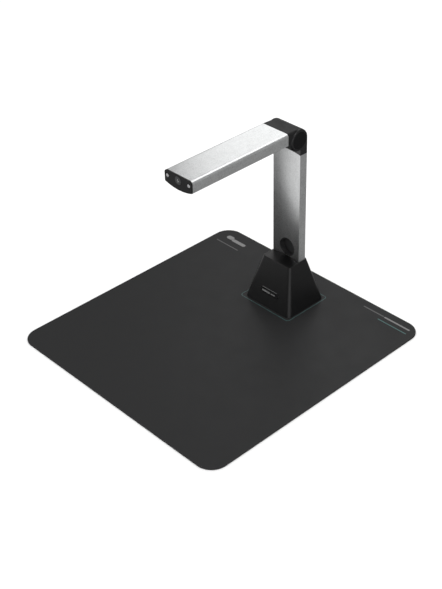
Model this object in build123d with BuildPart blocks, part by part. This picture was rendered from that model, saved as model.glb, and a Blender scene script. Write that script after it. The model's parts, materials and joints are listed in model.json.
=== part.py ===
from build123d import *

import os
from math import cos, radians, sin, sqrt

# Document camera: a work mat, a stand that stands on it and an arm that folds down against the tower.
# Millimetres. The origin is the centre of the mat's underside, +X is to the user's right,
# the user sits at -Y and +Z is up.

os.makedirs("parts", exist_ok=True)

# ---- Driving dimensions ----------------------------------------------------------------------

GAP = 0.1  # between pieces that are fixed together
MOVING_GAP = 0.3  # between pieces that move past each other

MAT_WIDTH = 376.0
MAT_DEPTH = 391.0
MAT_CORNER = 24.0
MAT_BACKING = 0.6
MAT_TOP = 1.5

# Base: a four-sided tapering casing
FOOT_WIDTH = 84.0
FOOT_FRONT = 86.4
FOOT_BACK = 158.0
FOOT_CORNER = 7.0
CROWN_WIDTH = 50.6
CROWN_FRONT = 105.5
CROWN_BACK = 140.9
CROWN_CORNER = 4.0
BASE_LOW = 2.0
BASE_TOP = 68.0
BASE_WALL = 2.4
CROWN_EDGE = 0.8

# Tower: an extrusion whose front is hollowed by a cylinder
SECTION_HALF = 24.0
TOWER_BOW_RADIUS = 106.0
TOWER_FRONT = 124.9
TOWER_BACK = 139.3
TOWER_CORNER = 3.0
TOWER_LOW = 10.0
TOWER_HIGH = 232.5
WALL = 1.6

# Arm: an extrusion whose underside bulges into the tower's hollow when it is folded down
ARM_BOW_RADIUS = 74.0
ARM_UNDER = 255.4
ARM_TOP = 271.5
ARM_CORNER = 4.2
ARM_BACK_END = 102.6
ARM_FREE_END = -60.6
END_CAP_THICKNESS = 2.0

# Hinge, its axis along X
AXIS_Y = 123.6
AXIS_Z = 255.0
BARREL_RADIUS = 15.3
BARREL_HALF = 21.2
CHEEK_RADIUS = 15.2
CHEEK_INNER = 21.5
CHEEK_ROUND = 2.2
COVER_RADIUS = 11.8
COVER_THICKNESS = 0.8
SHAFT_RADIUS = 3.0
RUNNING_GAP = 0.05
FOLD_RADIUS = 15.6  # what the barrel turns in

# Camera module
LENS_Y = -49.6
LENS_HOUSING_RADIUS = 10.0
LENS_LOW = 249.2
POCKET_Z = AXIS_Z - (AXIS_Y - LENS_Y)
POCKET_RADIUS = 13.7
POCKET_FLOOR = 136.9

# Light button in the end cap
BUTTON_Z = 264.2
BUTTON_RADIUS = 5.2
BUTTON_TRAVEL = 0.6
CAP_SCREW_X = 18.9
CAP_SCREW_Z = 264.2

# ---- Derived sizes and section helpers ---------------------------------------------------------

TOWER_BOW_Y = TOWER_FRONT - sqrt(TOWER_BOW_RADIUS**2 - SECTION_HALF**2)
ARM_BOW_Z = ARM_UNDER + sqrt(ARM_BOW_RADIUS**2 - SECTION_HALF**2)
END_CAP_FACE = ARM_FREE_END - END_CAP_THICKNESS
HINGE_AXIS = Axis((0, AXIS_Y, AXIS_Z), (1, 0, 0))
LEAST_CORNER = 0.8


def tower_section(inset=0.0):
    """The tower's outline in XY, drawn in by inset."""
    half = SECTION_HALF - inset
    bow = TOWER_BOW_RADIUS + inset
    front = TOWER_BOW_Y + sqrt(bow**2 - half**2)
    back = TOWER_BACK - inset
    with BuildSketch() as outline:
        with BuildLine():
            ThreePointArc((-half, front), (0, TOWER_BOW_Y + bow), (half, front))
            Polyline((half, front), (half, back), (-half, back), (-half, front))
        make_face()
        fillet(outline.vertices().group_by(Axis.Y)[-1], max(TOWER_CORNER - inset, LEAST_CORNER))
    return outline.sketch


def arm_section(inset=0.0, top=ARM_TOP):
    """The arm's outline, x across and y up, drawn in by inset."""
    half = SECTION_HALF - inset
    bow = ARM_BOW_RADIUS - inset
    under = ARM_BOW_Z - sqrt(bow**2 - half**2)
    high = top - inset
    with BuildSketch() as outline:
        with BuildLine():
            ThreePointArc((-half, under), (0, ARM_BOW_Z - bow), (half, under))
            Polyline((half, under), (half, high), (-half, high), (-half, under))
        make_face()
        fillet(outline.vertices().group_by(Axis.Y)[-1], max(ARM_CORNER - inset, LEAST_CORNER))
    return outline.sketch


def across(y):
    """An upright plane at y, x to the right and y up; extrusions from it run towards -Y."""
    return Plane.XZ.offset(-y)


def side_plane(x):
    """The plane at x, looking along X, whose sketch axes are Y and Z, centred on the hinge axis."""
    return Plane(origin=(x, AXIS_Y, AXIS_Z), x_dir=(0, 1, 0), z_dir=(1, 0, 0))


def half_section(side):
    """A plane through the hinge axis: the radius first, then the distance out along X on one side."""
    return Plane(origin=(0, AXIS_Y, AXIS_Z), x_dir=(0, 1, 0), z_dir=(0, 0, -side))


def facing_down(x, y, z):
    """A plane at a point, looking down, for what goes in from below."""
    return Plane(origin=(x, y, z), x_dir=(1, 0, 0), z_dir=(0, 0, -1))


def screw(head_profile, shank, length):
    """A cross-head screw along Z, its head's top at the origin and its shank below."""
    head = max(radius for radius, height in head_profile)
    with BuildPart() as body:
        with BuildSketch(Plane.XZ):
            with BuildLine():
                tip = [(shank, 0.3 - length), (shank - 0.3, -length), (0, -length)]
                Polyline((0, 0), *head_profile, *tip, close=True)
            make_face()
        revolve(axis=Axis.Z)
        with BuildSketch():
            Rectangle(head * 1.15, head * 0.28)
            Rectangle(head * 0.28, head * 1.15)
        extrude(amount=-0.5, mode=Mode.SUBTRACT)
    return body.part


def pan_screw(shank, length, head, height):
    return screw([(head * 0.72, 0), (head, -0.4), (head, -height), (shank, -height)], shank, length)


def flat_screw(shank, length, head):
    """A countersunk screw, 90 degrees under the head."""
    return screw([(head, 0), (shank, shank - head)], shank, length)


def bar_between(x0, x1, y0, y1, z0, z1):
    """A block between two corners, added to the part being built."""
    with Locations(((x0 + x1) / 2, (y0 + y1) / 2, (z0 + z1) / 2)):
        return Box(x1 - x0, y1 - y0, z1 - z0)


def write(piece, name):
    piece.label = name
    export_step(piece, f"parts/{name}.step")


# ---- Work mat ----------------------------------------------------------------------------------

with BuildPart() as mat_backing:
    with BuildSketch():
        RectangleRounded(MAT_WIDTH, MAT_DEPTH, MAT_CORNER)
    extrude(amount=MAT_BACKING)
write(mat_backing.part, "mat_backing")

with BuildPart() as mat_top:
    with BuildSketch(Plane.XY.offset(MAT_BACKING)):
        RectangleRounded(MAT_WIDTH, MAT_DEPTH, MAT_CORNER)
    extrude(amount=MAT_TOP - MAT_BACKING)
    fillet(mat_top.faces().sort_by(Axis.Z)[-1].edges(), 0.3)
write(mat_top.part, "mat_top")

# ---- Base casing -------------------------------------------------------------------------------

BASE_HEIGHT = BASE_TOP - BASE_LOW
TOWER_SEAM = 0.5
SEAM_DEPTH = 12.0
FRONT_LEAN = (CROWN_FRONT - FOOT_FRONT) / BASE_HEIGHT
BACK_LEAN = (FOOT_BACK - CROWN_BACK) / BASE_HEIGHT
SIDE_LEAN = (FOOT_WIDTH - CROWN_WIDTH) / 2 / BASE_HEIGHT

BOSS_X = 30.0
BOSS_Y = (97.0, 146.5)
BOSS_POINTS = [(x, y) for x in (-BOSS_X, BOSS_X) for y in BOSS_Y]
BOSS_RADIUS = 3.0
BOSS_BORE = 1.15
BOSS_BORE_DEPTH = 13.0
BOSS_TOP = 26.0
PLATE_LOW = 2.3
PLATE_HIGH = 4.3

SOCKET_X = 0.0
SOCKET_Z = 12.83
SOCKET_WIDTH = 8.94
SOCKET_HEIGHT = 3.26
SOCKET_FRONT = 154.6
SOCKET_LENGTH = 7.3

LABEL_Z = 23.0
LABEL_WIDTH = 36.0
LABEL_HEIGHT = 9.0
LABEL_SEAT = 0.4
LABEL_PROUD = 0.7
LABEL_BEVEL = 0.55
LABEL_Y = FOOT_FRONT + (LABEL_Z - BASE_LOW) * FRONT_LEAN
LABEL_PLANE = Plane(origin=(0, LABEL_Y, LABEL_Z), x_dir=(1, 0, 0), z_dir=(0, -1, FRONT_LEAN))


def base_level(z, inset=0.0):
    """The casing's width, depth, middle and corner radius at height z, drawn in by inset."""
    share = (z - BASE_LOW) / BASE_HEIGHT
    width = FOOT_WIDTH - 2 * SIDE_LEAN * (z - BASE_LOW) - 2 * inset
    front = FOOT_FRONT + FRONT_LEAN * (z - BASE_LOW) + inset
    back = FOOT_BACK - BACK_LEAN * (z - BASE_LOW) - inset
    corner = FOOT_CORNER + (CROWN_CORNER - FOOT_CORNER) * share - inset
    return width, back - front, (front + back) / 2, corner


def base_outline(z, inset=0.0):
    width, depth, middle, corner = base_level(z, inset)
    with BuildSketch(Plane.XY.offset(z)) as outline:
        with Locations((0, middle)):
            RectangleRounded(width, depth, corner)
    return outline.sketch


with BuildPart() as base_housing:
    loft([base_outline(BASE_LOW), base_outline(BASE_TOP)])
    fillet(base_housing.faces().sort_by(Axis.Z)[-1].edges(), CROWN_EDGE)
    cavity_top = BASE_TOP - BASE_WALL
    cavity_low = BASE_LOW - 1.0
    loft(
        [base_outline(cavity_low, BASE_WALL), base_outline(cavity_top, BASE_WALL)],
        mode=Mode.SUBTRACT,
    )
    # Posts that the bottom cover is screwed to
    with BuildSketch(Plane.XY.offset(PLATE_HIGH)):
        with Locations(*BOSS_POINTS):
            Circle(BOSS_RADIUS)
    extrude(amount=BOSS_TOP - PLATE_HIGH)
    with BuildSketch(Plane.XY.offset(PLATE_HIGH)):
        with Locations(*BOSS_POINTS):
            Circle(BOSS_BORE)
    extrude(amount=BOSS_BORE_DEPTH, mode=Mode.SUBTRACT)
    # Opening that the tower passes through
    with BuildSketch(Plane.XY.offset(BASE_TOP - SEAM_DEPTH)):
        add(offset(tower_section(), TOWER_SEAM, kind=Kind.INTERSECTION, mode=Mode.PRIVATE))
    extrude(amount=SEAM_DEPTH + 1.0, mode=Mode.SUBTRACT)
    # Opening for the socket in the back wall
    with BuildSketch(across(FOOT_BACK + 1.0)):
        with Locations((SOCKET_X, SOCKET_Z)):
            RectangleRounded(SOCKET_WIDTH + 0.4, SOCKET_HEIGHT + 0.4, 1.8)
    extrude(amount=8.0, mode=Mode.SUBTRACT)
    # Shallow seat for the label
    with BuildSketch(LABEL_PLANE):
        SlotOverall(LABEL_WIDTH, LABEL_HEIGHT)
    extrude(amount=-LABEL_SEAT, mode=Mode.SUBTRACT)
write(base_housing.part, "base_housing")

# Raised plate with a bevelled rim
with BuildPart() as label_plate:
    with BuildSketch(LABEL_PLANE.offset(GAP - LABEL_SEAT)):
        SlotOverall(LABEL_WIDTH - 2 * GAP, LABEL_HEIGHT - 2 * GAP)
    extrude(amount=LABEL_SEAT - GAP + LABEL_PROUD)
    label_face = label_plate.faces().sort_by(Axis((0, 0, 0), LABEL_PLANE.z_dir))[-1]
    chamfer(label_face.edges(), LABEL_BEVEL)
write(label_plate.part, "label_plate")

# ---- Bottom cover, feet and weight ---------------------------------------------------------------

FOOT_PAD_X = 19.0
FOOT_PAD_Y = (98.0, 146.0)
FOOT_PAD_RADIUS = 6.0
FOOT_PAD_HIGH = 2.9
PLATE_CLEARANCE = 0.25

BALLAST_WIDTH = 52.0
BALLAST_FRONT = 100.0
BALLAST_BACK = 120.0
BALLAST_TOP = 34.0
BALLAST_SCREW_POINTS = [(-16.0, 110.0), (16.0, 110.0)]

BRACKET_HALF = 26.0
BRACKET_FRONT = 120.6
BRACKET_BACK = 141.0
BRACKET_FLANGE = 10.0
BRACKET_TOP = 46.0
BRACKET_SCREW_POINTS = [(-21.0, 123.0), (21.0, 123.0)]
TONGUE_LEFT = -20.0
TONGUE_RIGHT = 11.0

BOARD_LEFT = -12.0
BOARD_RIGHT = 20.0
BOARD_FRONT = 141.5
BOARD_BACK = 152.0
BOARD_LOW = 10.0
BOARD_HIGH = 11.2
BOARD_POSTS = [(-8.5, 145.0), (17.0, 149.3)]
FOOT_PAD_POINTS = [(x, y) for x in (-FOOT_PAD_X, FOOT_PAD_X) for y in FOOT_PAD_Y]
INNER_SCREW_POINTS = BRACKET_SCREW_POINTS + BALLAST_SCREW_POINTS

with BuildPart() as base_plate:
    plate_width, plate_depth, plate_middle, plate_corner = base_level(PLATE_HIGH, BASE_WALL + PLATE_CLEARANCE)
    with BuildSketch(Plane.XY.offset(PLATE_LOW)):
        with Locations((0, plate_middle)):
            RectangleRounded(plate_width, plate_depth, plate_corner)
    extrude(amount=PLATE_HIGH - PLATE_LOW)
    with BuildSketch(Plane.XY.offset(PLATE_HIGH)):
        with Locations(*BOARD_POSTS):
            Circle(2.2)
    extrude(amount=BOARD_LOW - PLATE_HIGH)
    with Locations(*[(x, y, BOARD_LOW) for x, y in BOARD_POSTS]):
        Hole(0.8, depth=5.0)
    with BuildSketch(Plane.XY.offset(PLATE_LOW)):
        with Locations(*FOOT_PAD_POINTS):
            Circle(FOOT_PAD_RADIUS + GAP)
    extrude(amount=FOOT_PAD_HIGH - PLATE_LOW, mode=Mode.SUBTRACT)
    with Locations(*[facing_down(x, y, PLATE_LOW) for x, y in BOSS_POINTS + INNER_SCREW_POINTS]):
        CounterSinkHole(1.5, 2.75, counter_sink_angle=90)
write(base_plate.part, "base_plate")

with BuildPart() as base_feet:
    with BuildSketch(Plane.XY.offset(MAT_TOP)):
        with Locations(*FOOT_PAD_POINTS):
            Circle(FOOT_PAD_RADIUS)
    extrude(amount=FOOT_PAD_HIGH - MAT_TOP)
    chamfer(base_feet.faces().group_by(Axis.Z)[0].edges(), 0.3)
write(base_feet.part, "base_feet")

with BuildPart() as ballast:
    with BuildSketch(Plane.XY.offset(PLATE_HIGH)):
        with Locations((0, (BALLAST_FRONT + BALLAST_BACK) / 2)):
            Rectangle(BALLAST_WIDTH, BALLAST_BACK - BALLAST_FRONT)
    extrude(amount=BALLAST_TOP - PLATE_HIGH)
    chamfer(ballast.edges().filter_by(Axis.Z), 1.0)
    with BuildSketch(Plane.XY.offset(PLATE_HIGH)):
        with Locations(*BALLAST_SCREW_POINTS):
            Circle(1.5)
    extrude(amount=9.0, mode=Mode.SUBTRACT)
write(ballast.part, "ballast")


def screw_group(planes, shape):
    """Identical screws, one at each plane, as one piece."""
    with BuildPart() as group:
        with Locations(*planes):
            add(shape)
    return group.part


write(
    screw_group([facing_down(x, y, PLATE_LOW) for x, y in BOSS_POINTS], flat_screw(1.1, 12.0, 2.6)),
    "base_screws",
)
write(
    screw_group([facing_down(x, y, PLATE_LOW) for x, y in INNER_SCREW_POINTS], flat_screw(1.45, 10.0, 2.6)),
    "frame_screws",
)

# ---- Socket and its board ------------------------------------------------------------------------

CABLE_RADIUS = 1.5
CABLE_X = 16.0
CONNECTOR_TOP = 14.2

with BuildPart() as usb_board:
    with BuildSketch(Plane.XY.offset(BOARD_LOW)):
        with Locations(((BOARD_LEFT + BOARD_RIGHT) / 2, (BOARD_FRONT + BOARD_BACK) / 2)):
            RectangleRounded(BOARD_RIGHT - BOARD_LEFT, BOARD_BACK - BOARD_FRONT, 1.0)
        with Locations(*BOARD_POSTS):
            Circle(1.1, mode=Mode.SUBTRACT)
    extrude(amount=BOARD_HIGH - BOARD_LOW)
write(usb_board.part, "usb_board")

with BuildPart() as usb_board_screws:
    with Locations(*[(x, y, BOARD_HIGH + 1.2) for x, y in BOARD_POSTS]):
        add(pan_screw(0.75, 5.0, 1.7, 1.2))
write(usb_board_screws.part, "usb_board_screws")

with BuildPart() as usb_socket:
    with BuildSketch(across(SOCKET_FRONT)):
        with Locations((SOCKET_X, SOCKET_Z)):
            RectangleRounded(SOCKET_WIDTH, SOCKET_HEIGHT, 1.5)
    extrude(amount=SOCKET_LENGTH)
    with BuildSketch(across(SOCKET_FRONT)):
        with Locations((SOCKET_X, SOCKET_Z)):
            RectangleRounded(SOCKET_WIDTH - 0.6, SOCKET_HEIGHT - 0.6, 1.25)
    extrude(amount=SOCKET_LENGTH - 1.0, mode=Mode.SUBTRACT)
    with BuildSketch(across(SOCKET_FRONT - 0.7)):
        with Locations((SOCKET_X, SOCKET_Z)):
            Rectangle(6.7, 0.7)
    extrude(amount=SOCKET_LENGTH - 1.0)
write(usb_socket.part, "usb_socket")

with BuildPart() as board_plug:
    bar_between(CABLE_X - 3.0, CABLE_X + 3.0, 142.0, 146.5, BOARD_HIGH, CONNECTOR_TOP)
    with BuildSketch(across(142.0)):
        with Locations((CABLE_X, 12.7)):
            Circle(1.3)
    extrude(amount=-2.0, mode=Mode.SUBTRACT)
    chamfer(board_plug.edges().filter_by(Axis.Z), 0.3)
write(board_plug.part, "board_plug")

# ---- Tower ---------------------------------------------------------------------------------------

TOWER_SCREW_Z = (26.0, 38.0)
CAP_FOOT = 220.0
CAP_SCREW_HEIGHT = 226.5
CAP_SCREW_PLACES = (-12.0, 12.0)
CABLE_NOTCH_TOP = 17.0
CABLE_TOP_Y = 134.0
CABLE_TOP = 241.0

with BuildPart() as tower_tube:
    with BuildSketch(Plane.XY.offset(TOWER_LOW)):
        add(tower_section())
        add(tower_section(WALL), mode=Mode.SUBTRACT)
    extrude(amount=TOWER_HIGH - TOWER_LOW)
    # Round opening for the lens pocket, in the front wall only
    with BuildSketch(across(TOWER_BACK - 4.0)):
        with Locations((0, POCKET_Z)):
            Circle(POCKET_RADIUS)
    extrude(amount=30.0, mode=Mode.SUBTRACT)
    # Notch that the cable enters by
    with BuildSketch(Plane.XY.offset(TOWER_LOW)):
        with Locations((CABLE_X, TOWER_BACK - 1.0)):
            Rectangle(5.0, 5.0)
    extrude(amount=CABLE_NOTCH_TOP - TOWER_LOW, mode=Mode.SUBTRACT)
    with Locations(*[Plane(origin=(0, TOWER_BACK, z), z_dir=(0, 1, 0)) for z in TOWER_SCREW_Z]):
        Hole(1.6, depth=4.0)
    with Locations(
        *[Plane(origin=(x, TOWER_BACK, CAP_SCREW_HEIGHT), z_dir=(0, 1, 0)) for x in CAP_SCREW_PLACES]
    ):
        CounterSinkHole(1.3, 2.45, depth=4.0, counter_sink_angle=90)
write(tower_tube.part, "tower_tube")

with BuildPart() as lens_pocket:
    with BuildSketch(across(POCKET_FLOOR)):
        with Locations((0, POCKET_Z)):
            Circle(POCKET_RADIUS - GAP)
    extrude(amount=20.0)
    with BuildSketch(across(POCKET_FLOOR - 0.8)):
        with Locations((0, POCKET_Z)):
            Circle(POCKET_RADIUS - 0.8)
    extrude(amount=20.0, mode=Mode.SUBTRACT)
    # The rim follows the tower's hollow front, a little below it
    with BuildSketch(Plane.XY.offset(POCKET_Z - 20.0)):
        with Locations((0, TOWER_BOW_Y)):
            Circle(TOWER_BOW_RADIUS + 0.2)
    extrude(amount=40.0, mode=Mode.SUBTRACT)
write(lens_pocket.part, "lens_pocket")

with BuildPart() as tower_bracket:
    bar_between(-BRACKET_HALF, BRACKET_HALF, BRACKET_FRONT, BRACKET_BACK, PLATE_HIGH, BRACKET_FLANGE)
    chamfer(tower_bracket.edges().filter_by(Axis.Z), 1.0)
    # Tongue that fills most of the tower's hollow
    with BuildSketch(Plane.XY.offset(BRACKET_FLANGE)):
        add(tower_section(WALL + GAP))
        with Locations(((TONGUE_LEFT + TONGUE_RIGHT) / 2, TOWER_BACK)):
            Rectangle(TONGUE_RIGHT - TONGUE_LEFT, 40.0, mode=Mode.INTERSECT)
    extrude(amount=BRACKET_TOP - BRACKET_FLANGE)
    with BuildSketch(Plane.XY.offset(PLATE_HIGH)):
        with Locations(*BRACKET_SCREW_POINTS):
            Circle(1.5)
    extrude(amount=9.0, mode=Mode.SUBTRACT)
    with Locations(*[Plane(origin=(0, TOWER_BACK - WALL, z), z_dir=(0, 1, 0)) for z in TOWER_SCREW_Z]):
        Hole(1.5, depth=4.5)
write(tower_bracket.part, "tower_bracket")

with BuildPart() as tower_screws:
    with Locations(*[Plane(origin=(0, TOWER_BACK + 1.6, z), z_dir=(0, 1, 0)) for z in TOWER_SCREW_Z]):
        add(pan_screw(1.45, 7.0, 2.8, 1.6))
write(tower_screws.part, "tower_screws")

with BuildPart() as tower_cable:
    with BuildLine() as route:
        FilletPolyline(
            (CABLE_X, 142.0, 12.7),
            (CABLE_X, 133.2, 12.7),
            (18.0, 133.2, 22.0),
            (18.0, 133.2, 205.0),
            (0.0, CABLE_TOP_Y, 217.0),
            (0.0, CABLE_TOP_Y, CABLE_TOP),
            radius=3.0,
        )
    with BuildSketch(Plane(route.line @ 0, z_dir=route.line % 0)):
        Circle(CABLE_RADIUS)
    sweep()
write(tower_cable.part, "tower_cable")

# ---- Tower cap: a yoke with two cheeks -------------------------------------------------------------

SADDLE_TOP = 246.0
COVER_SEAT = SECTION_HALF - COVER_THICKNESS
SHAFT_HALF = 22.4
HINGE_SCREW_HEAD = 0.7
HINGE_SCREW_RADIUS = 4.4

with BuildPart() as tower_cap:
    with BuildSketch(Plane.XY.offset(TOWER_HIGH)):
        add(tower_section())
    extrude(amount=AXIS_Z - TOWER_HIGH)
    # Space between the cheeks for the barrel
    with BuildSketch(side_plane(-CHEEK_INNER)):
        Circle(FOLD_RADIUS)
        with Locations((0, SADDLE_TOP - AXIS_Z + 20.0)):
            Rectangle(60.0, 40.0)
    extrude(amount=2 * CHEEK_INNER, mode=Mode.SUBTRACT)
    # Round cheeks with rounded rims, the seats of the side covers and room for the screw heads
    for side in (-1, 1):
        with BuildSketch(half_section(side)):
            with BuildLine():
                Polyline((0, SECTION_HALF), (0, CHEEK_INNER), (CHEEK_RADIUS, CHEEK_INNER),
                         (CHEEK_RADIUS, SECTION_HALF - CHEEK_ROUND))
                CenterArc((CHEEK_RADIUS - CHEEK_ROUND, SECTION_HALF - CHEEK_ROUND), CHEEK_ROUND, 0, 90)
                Line((CHEEK_RADIUS - CHEEK_ROUND, SECTION_HALF), (0, SECTION_HALF))
            make_face()
        revolve(axis=HINGE_AXIS)
        with BuildSketch(side_plane(side * COVER_SEAT)):
            Circle(COVER_RADIUS + GAP)
        extrude(amount=side * 5.0, mode=Mode.SUBTRACT)
        with BuildSketch(side_plane(side * SHAFT_HALF)):
            Circle(HINGE_SCREW_RADIUS + 0.5)
        extrude(amount=side * 5.0, mode=Mode.SUBTRACT)
    with BuildSketch(side_plane(-30.0)):
        Circle(SHAFT_RADIUS + RUNNING_GAP)
    extrude(amount=60.0, mode=Mode.SUBTRACT)
    # Spigot inside the tower
    with BuildSketch(Plane.XY.offset(CAP_FOOT)):
        add(tower_section(WALL + GAP))
    extrude(amount=TOWER_HIGH - CAP_FOOT)
    with BuildSketch(Plane.XY.offset(CAP_FOOT)):
        with Locations((0, CABLE_TOP_Y)):
            Circle(CABLE_RADIUS + 0.2)
    extrude(amount=40.0, mode=Mode.SUBTRACT)
    with Locations(
        *[Plane(origin=(x, TOWER_BACK - WALL, CAP_SCREW_HEIGHT), z_dir=(0, 1, 0)) for x in CAP_SCREW_PLACES]
    ):
        Hole(1.15, depth=5.0)
write(tower_cap.part, "tower_cap")

with BuildPart() as cap_screws:
    with Locations(
        *[Plane(origin=(x, TOWER_BACK, CAP_SCREW_HEIGHT), z_dir=(0, 1, 0)) for x in CAP_SCREW_PLACES]
    ):
        add(flat_screw(1.1, 6.0, 2.3))
write(cap_screws.part, "cap_screws")

# ---- Hinge -----------------------------------------------------------------------------------------

with BuildPart() as hinge_shaft:
    with BuildSketch(side_plane(-SHAFT_HALF)):
        Circle(SHAFT_RADIUS)
    extrude(amount=2 * SHAFT_HALF)
    for side in (-1, 1):
        with BuildSketch(side_plane(side * SHAFT_HALF)):
            Circle(1.5)
        extrude(amount=-side * 9.0, mode=Mode.SUBTRACT)
write(hinge_shaft.part, "hinge_shaft")

with BuildPart() as hinge_screws:
    for side in (-1, 1):
        head_top = side * (SHAFT_HALF + HINGE_SCREW_HEAD)
        with Locations(Plane(origin=(head_top, AXIS_Y, AXIS_Z), z_dir=(side, 0, 0))):
            add(pan_screw(1.45, 8.0, HINGE_SCREW_RADIUS, HINGE_SCREW_HEAD))
write(hinge_screws.part, "hinge_screws")

with BuildPart() as hinge_covers:
    for side in (-1, 1):
        with BuildSketch(side_plane(side * COVER_SEAT)):
            Circle(COVER_RADIUS)
        extrude(amount=side * COVER_THICKNESS)
    rims = hinge_covers.edges().group_by(Axis.X)
    fillet(rims[0] + rims[-1], 0.3)
write(hinge_covers.part, "hinge_covers")

WASHER_OUTER = CHEEK_INNER - RUNNING_GAP
WASHER_INNER = WASHER_OUTER - 0.9
STACK_SEAT = 18.7
SPRING_OUTER = WASHER_INNER
BUSH_INNER_END = 10.7


def rings(spans, outer, inner):
    """Rings around the hinge axis, one for each (start, end) along X, mirrored to both sides."""
    with BuildPart() as group:
        for side in (-1, 1):
            for start, end in spans:
                with BuildSketch(side_plane(side * start)):
                    Circle(outer)
                    Circle(inner, mode=Mode.SUBTRACT)
                extrude(amount=side * (end - start))
    return group.part


write(rings([(WASHER_INNER, WASHER_OUTER)], 6.6, SHAFT_RADIUS + RUNNING_GAP), "friction_washers")
write(rings([(BUSH_INNER_END, STACK_SEAT)], 5.0, SHAFT_RADIUS + RUNNING_GAP), "hinge_bushes")


def disc_spring(start, end, rim_first):
    """A coned ring between start and end along X, as (radius, x) corners of its section."""
    thick = 0.5
    low, high = (start, end - thick) if rim_first else (end - thick, start)
    return [(6.3, low), (6.3, low + thick), (3.3, high + thick), (3.3, high)]


with BuildPart() as hinge_springs:
    middle = (STACK_SEAT + SPRING_OUTER) / 2
    for side in (-1, 1):
        for start, end, rim_first in ((STACK_SEAT, middle, True), (middle, SPRING_OUTER, False)):
            with BuildSketch(half_section(side)):
                with BuildLine():
                    Polyline(*disc_spring(start, end, rim_first), close=True)
                make_face()
            revolve(axis=HINGE_AXIS)
write(hinge_springs.part, "hinge_springs")

# ---- Arm: hinge block ------------------------------------------------------------------------------

HEAD_END = AXIS_Y - 0.8
HEAD_END_TOP = AXIS_Z + BARREL_RADIUS - 0.02
HEAD_EDGE_END = 117.0
SPIGOT_END = 90.0
BLOCK_SCREW_POINTS = [(-12.0, 96.0), (12.0, 96.0)]
WIRE_HALF = 4.5
WIRE_LOW = 259.3
WIRE_HIGH = 263.7
WIRE_CAVITY = 11.5
SLOT_START = -150.0
SLOT_END = -40.0


def arm_underside(x, inset=0.0):
    return ARM_BOW_Z - sqrt((ARM_BOW_RADIUS - inset) ** 2 - x**2)


with BuildPart() as arm_hinge_block:
    # Head: the arm's section, a little lower where it runs into the barrel
    with BuildSketch(across(ARM_BACK_END)):
        add(arm_section())
    with BuildSketch(across(HEAD_END)):
        add(arm_section(top=HEAD_END_TOP))
    loft()
    # Where the cheeks turn beside the barrel
    for side in (-1, 1):
        with BuildSketch(side_plane(side * BARREL_HALF)):
            Circle(FOLD_RADIUS)
            with Locations((HEAD_EDGE_END - AXIS_Y + 20.0, 0)):
                Rectangle(40.0, 60.0)
        extrude(amount=side * 10.0, mode=Mode.SUBTRACT)
    with BuildSketch(side_plane(-BARREL_HALF)):
        Circle(BARREL_RADIUS)
    extrude(amount=2 * BARREL_HALF)
    # Spigot inside the arm, clear of the two screw channels
    with BuildSketch(across(ARM_BACK_END)):
        add(arm_section(WALL + GAP))
        with Locations((0, CAP_SCREW_Z)):
            Rectangle(31.0, 40.0, mode=Mode.INTERSECT)
    extrude(amount=ARM_BACK_END - SPIGOT_END)
    # Bores for the bushes and the springs, and the space that the wires cross
    with BuildSketch(side_plane(-BARREL_HALF)):
        Circle(5.0)
    extrude(amount=2 * BARREL_HALF, mode=Mode.SUBTRACT)
    for side in (-1, 1):
        with BuildSketch(side_plane(side * STACK_SEAT)):
            Circle(7.0)
        extrude(amount=side * 3.0, mode=Mode.SUBTRACT)
    with BuildSketch(side_plane(-WIRE_HALF)):
        Circle(WIRE_CAVITY)
        with BuildLine():
            start_angle, end_angle = radians(SLOT_START), radians(SLOT_END)
            Line((0, 0), (17 * cos(start_angle), 17 * sin(start_angle)))
            CenterArc((0, 0), 17, SLOT_START, SLOT_END - SLOT_START)
            Line((17 * cos(end_angle), 17 * sin(end_angle)), (0, 0))
        make_face()
    extrude(amount=2 * WIRE_HALF, mode=Mode.SUBTRACT)
    with BuildSketch(across(AXIS_Y - 8.0)):
        with Locations((0, (WIRE_LOW + WIRE_HIGH) / 2)):
            Rectangle(2 * WIRE_HALF, WIRE_HIGH - WIRE_LOW)
    extrude(amount=40.0, mode=Mode.SUBTRACT)
    with Locations(*[facing_down(x, y, arm_underside(x)) for x, y in BLOCK_SCREW_POINTS]):
        Hole(1.15, depth=9.0)
write(arm_hinge_block.part, "arm_hinge_block")

# ---- Arm: tube -------------------------------------------------------------------------------------

WINDOW_HALF = 16.0
WINDOW_FRONT = -31.0
WINDOW_BACK = -21.0

with BuildPart() as arm_tube:
    with BuildSketch(across(ARM_BACK_END)):
        add(arm_section())
        add(arm_section(WALL), mode=Mode.SUBTRACT)
        # Screw channels along both sides
        with Locations((-CAP_SCREW_X, CAP_SCREW_Z), (CAP_SCREW_X, CAP_SCREW_Z)):
            Circle(2.5)
        for side in (-1, 1):
            with Locations((side * (SECTION_HALF - 2.6), CAP_SCREW_Z)):
                Rectangle(5.0, 2.4)
        with Locations((-CAP_SCREW_X, CAP_SCREW_Z), (CAP_SCREW_X, CAP_SCREW_Z)):
            Circle(1.2, mode=Mode.SUBTRACT)
    extrude(amount=ARM_BACK_END - ARM_FREE_END)
    # Openings in the underside for the lens and for the light's window
    with BuildSketch(Plane.XY.offset(ARM_UNDER - 10.0)):
        with Locations((0, LENS_Y)):
            Circle(LENS_HOUSING_RADIUS + GAP)
        with Locations((0, (WINDOW_FRONT + WINDOW_BACK) / 2)):
            RectangleRounded(2 * WINDOW_HALF, WINDOW_BACK - WINDOW_FRONT, 2.0)
    extrude(amount=11.0, mode=Mode.SUBTRACT)
    with Locations(*[facing_down(x, y, arm_underside(x) + 0.15) for x, y in BLOCK_SCREW_POINTS]):
        CounterSinkHole(1.3, 2.55, depth=4.0, counter_sink_angle=90)
write(arm_tube.part, "arm_tube")

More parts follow.
